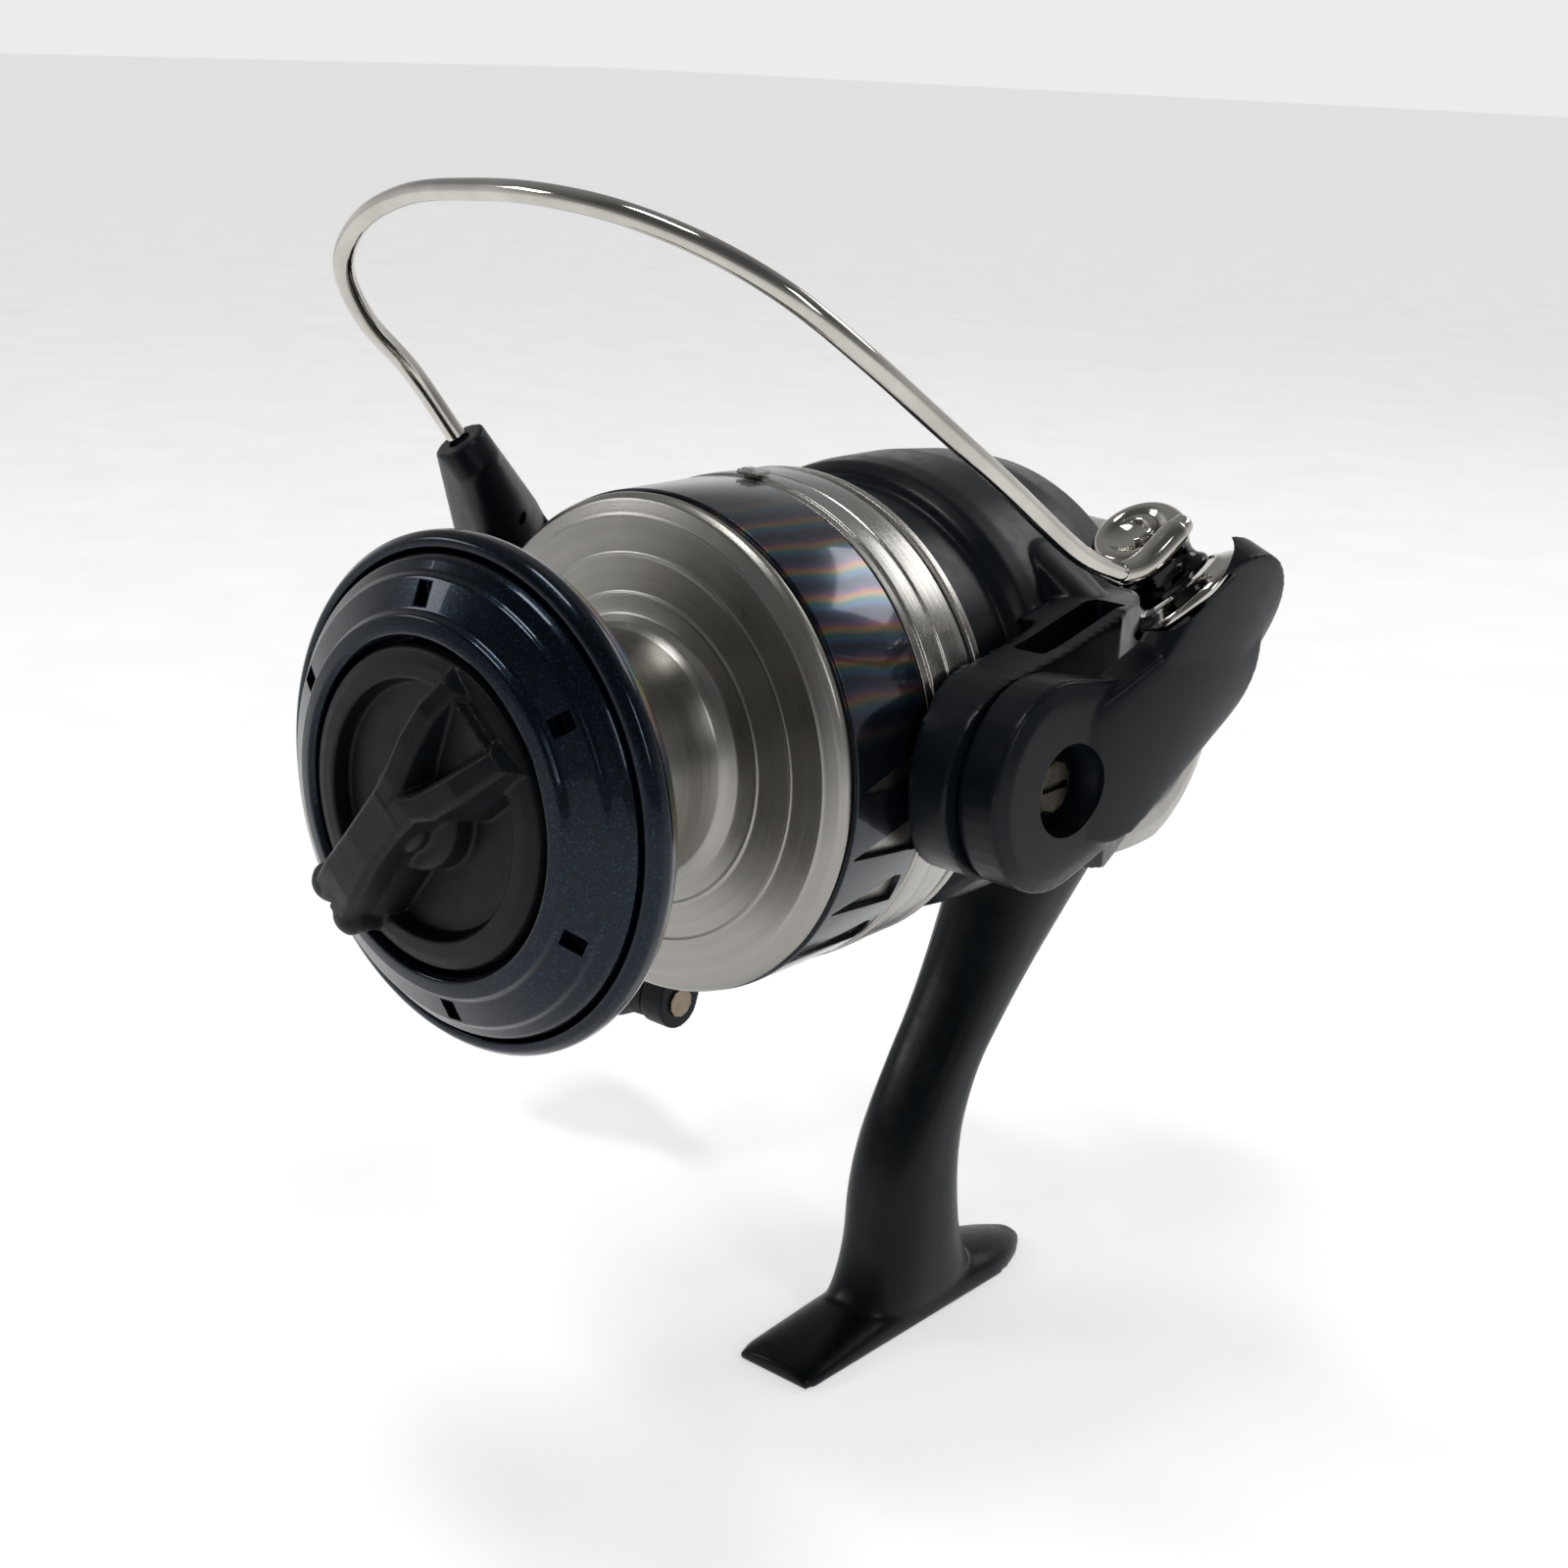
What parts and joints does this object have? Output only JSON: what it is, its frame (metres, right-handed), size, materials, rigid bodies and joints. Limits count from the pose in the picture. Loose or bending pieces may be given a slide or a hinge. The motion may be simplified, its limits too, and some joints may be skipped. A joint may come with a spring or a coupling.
{
  "type": "spinning reel",
  "caption": "Front-drag spinning fishing reel with open bail, turning rotor, sliding spool, crank handle and a curved stem on a flat reel foot.",
  "frame": {"origin": "centre of the foot's flat bottom face", "axes": "+Z from the foot up to the spool axis; the spool axis runs along Y with the spool and drag knob towards -Y; the handle is on the -X side"},
  "size_m": [0.1368, 0.1472, 0.1605],
  "materials": {
    "satin_black": "satin blue-black moulded plastic and paint",
    "gloss_navy": "glossy navy-black with fine metallic fleck",
    "machined_spool": "turned, satin warm grey",
    "chrome": "polished, slightly warm",
    "steel": "machined",
    "grey_cover": "light warm-grey satin",
    "brass": "machined",
    "cast_zinc": "die-cast",
    "felt": "oiled friction felt",
    "grip_rubber": "matt soft-touch grip",
    "nylon": "natural nylon",
    "roller_coat": "dark hard-chromed"
  },
  "bodies": {
    "reel_body": {"gear_housing": "satin_black", "side_cover": "satin_black", "side_cover_screw_1": "steel", "side_cover_screw_2": "steel", "rear_cover": "grey_cover", "rear_cover_screw": "steel", "one_way_clutch": "steel", "clutch_retainer": "steel", "pinion_bearing": "steel", "crank_bearing_right": "steel", "crank_bearing_left": "steel"},
    "crank": {"drive_gear": "cast_zinc", "handle_shaft": "chrome", "handle_arm": "satin_black", "handle_fold_pin": "steel", "handle_screw_cap": "satin_black", "screw_cap_ring": "chrome", "knob_spindle": "brass"},
    "handle_knob": {"handle_knob": "grip_rubber", "knob_end_cap": "chrome"},
    "oscillating_gear": {"oscillating_gear": "cast_zinc"},
    "main_shaft": {"main_shaft": "steel", "spool_seat_washer": "nylon", "oscillating_slider": "cast_zinc", "drag_plate_keyed": "steel", "click_gear": "nylon"},
    "spool": {"spool_lip": "gloss_navy", "front_cover": "gloss_navy", "spool_body": "machined_spool", "skirt_band": "gloss_navy", "skirt_ring": "machined_spool", "line_clip": "nylon", "spool_bushing": "brass", "drag_washer_rear": "felt", "drag_plate_eared": "steel", "drag_washer_middle": "felt", "drag_washer_front": "felt", "drag_pressure_plate": "steel", "drag_retainer": "steel"},
    "drag_knob": {"drag_knob": "satin_black", "drag_nut": "brass", "drag_spring": "steel"},
    "rotor": {"rotor": "satin_black", "rotor_nut": "steel", "pinion_gear": "brass", "clutch_sleeve": "steel", "bail_spring": "steel", "spring_guide": "chrome", "bail_pivot_screw_right": "steel", "bail_pivot_screw_left": "steel", "balance_weight": "cast_zinc"},
    "kick_lever": {"kick_lever": "steel"},
    "bail": {"bail_arm": "satin_black", "roller_collar": "chrome", "roller_bush": "nylon", "roller_screw": "steel", "nose_cap": "chrome", "bail_wire": "chrome", "bail_lever": "satin_black"},
    "line_roller": {"line_roller": "roller_coat"}
  },
  "joints": [
    {"name": "crank_spin", "type": "hinge", "parent": "reel_body", "child": "crank", "pos_m": [0, 0.026, 0.0875], "axis": [1, 0, 0], "continuous": true},
    {"name": "handle_knob_spin", "type": "hinge", "parent": "crank", "child": "handle_knob", "pos_m": [-0.056, 0.008, 0.0295], "axis": [1, 0, 0], "continuous": true},
    {"name": "oscillating_gear_spin", "type": "hinge", "parent": "reel_body", "child": "oscillating_gear", "pos_m": [-0.0106, 0.0366, 0.0854], "axis": [1, 0, 0], "continuous": true},
    {"name": "rotor_spin", "type": "hinge", "parent": "reel_body", "child": "rotor", "pos_m": [0, -0.012, 0.0955], "axis": [0, 1, 0], "continuous": true},
    {"name": "main_shaft_slide", "type": "slide", "parent": "reel_body", "child": "main_shaft", "axis": [0, -1, 0], "range_m": [-0.007, 0.004]},
    {"name": "spool_drag_spin", "type": "hinge", "parent": "main_shaft", "child": "spool", "pos_m": [0, -0.082, 0.0955], "axis": [0, 1, 0], "continuous": true},
    {"name": "drag_knob_turn", "type": "hinge", "parent": "main_shaft", "child": "drag_knob", "pos_m": [0, -0.082, 0.0955], "axis": [0, 1, 0], "range_deg": [-360, 360]},
    {"name": "bail_flip", "type": "hinge", "parent": "rotor", "child": "bail", "pos_m": [0, -0.031, 0.0955], "axis": [1, 0, 0], "range_deg": [0, 115]},
    {"name": "kick_lever_rock", "type": "hinge", "parent": "rotor", "child": "kick_lever", "pos_m": [0.0335, -0.012, 0.0911], "axis": [1, 0, 0], "range_deg": [-6, 6]},
    {"name": "line_roller_spin", "type": "hinge", "parent": "bail", "child": "line_roller", "pos_m": [0.0432, -0.0085, 0.1143], "axis": [-0.5997, -0.3498, 0.7197], "continuous": true}
  ],
  "couplings": [
    {"joint": "rotor_spin", "follows": "crank_spin", "ratio": 4.2222},
    {"joint": "oscillating_gear_spin", "follows": "crank_spin", "ratio": -0.5}
  ]
}
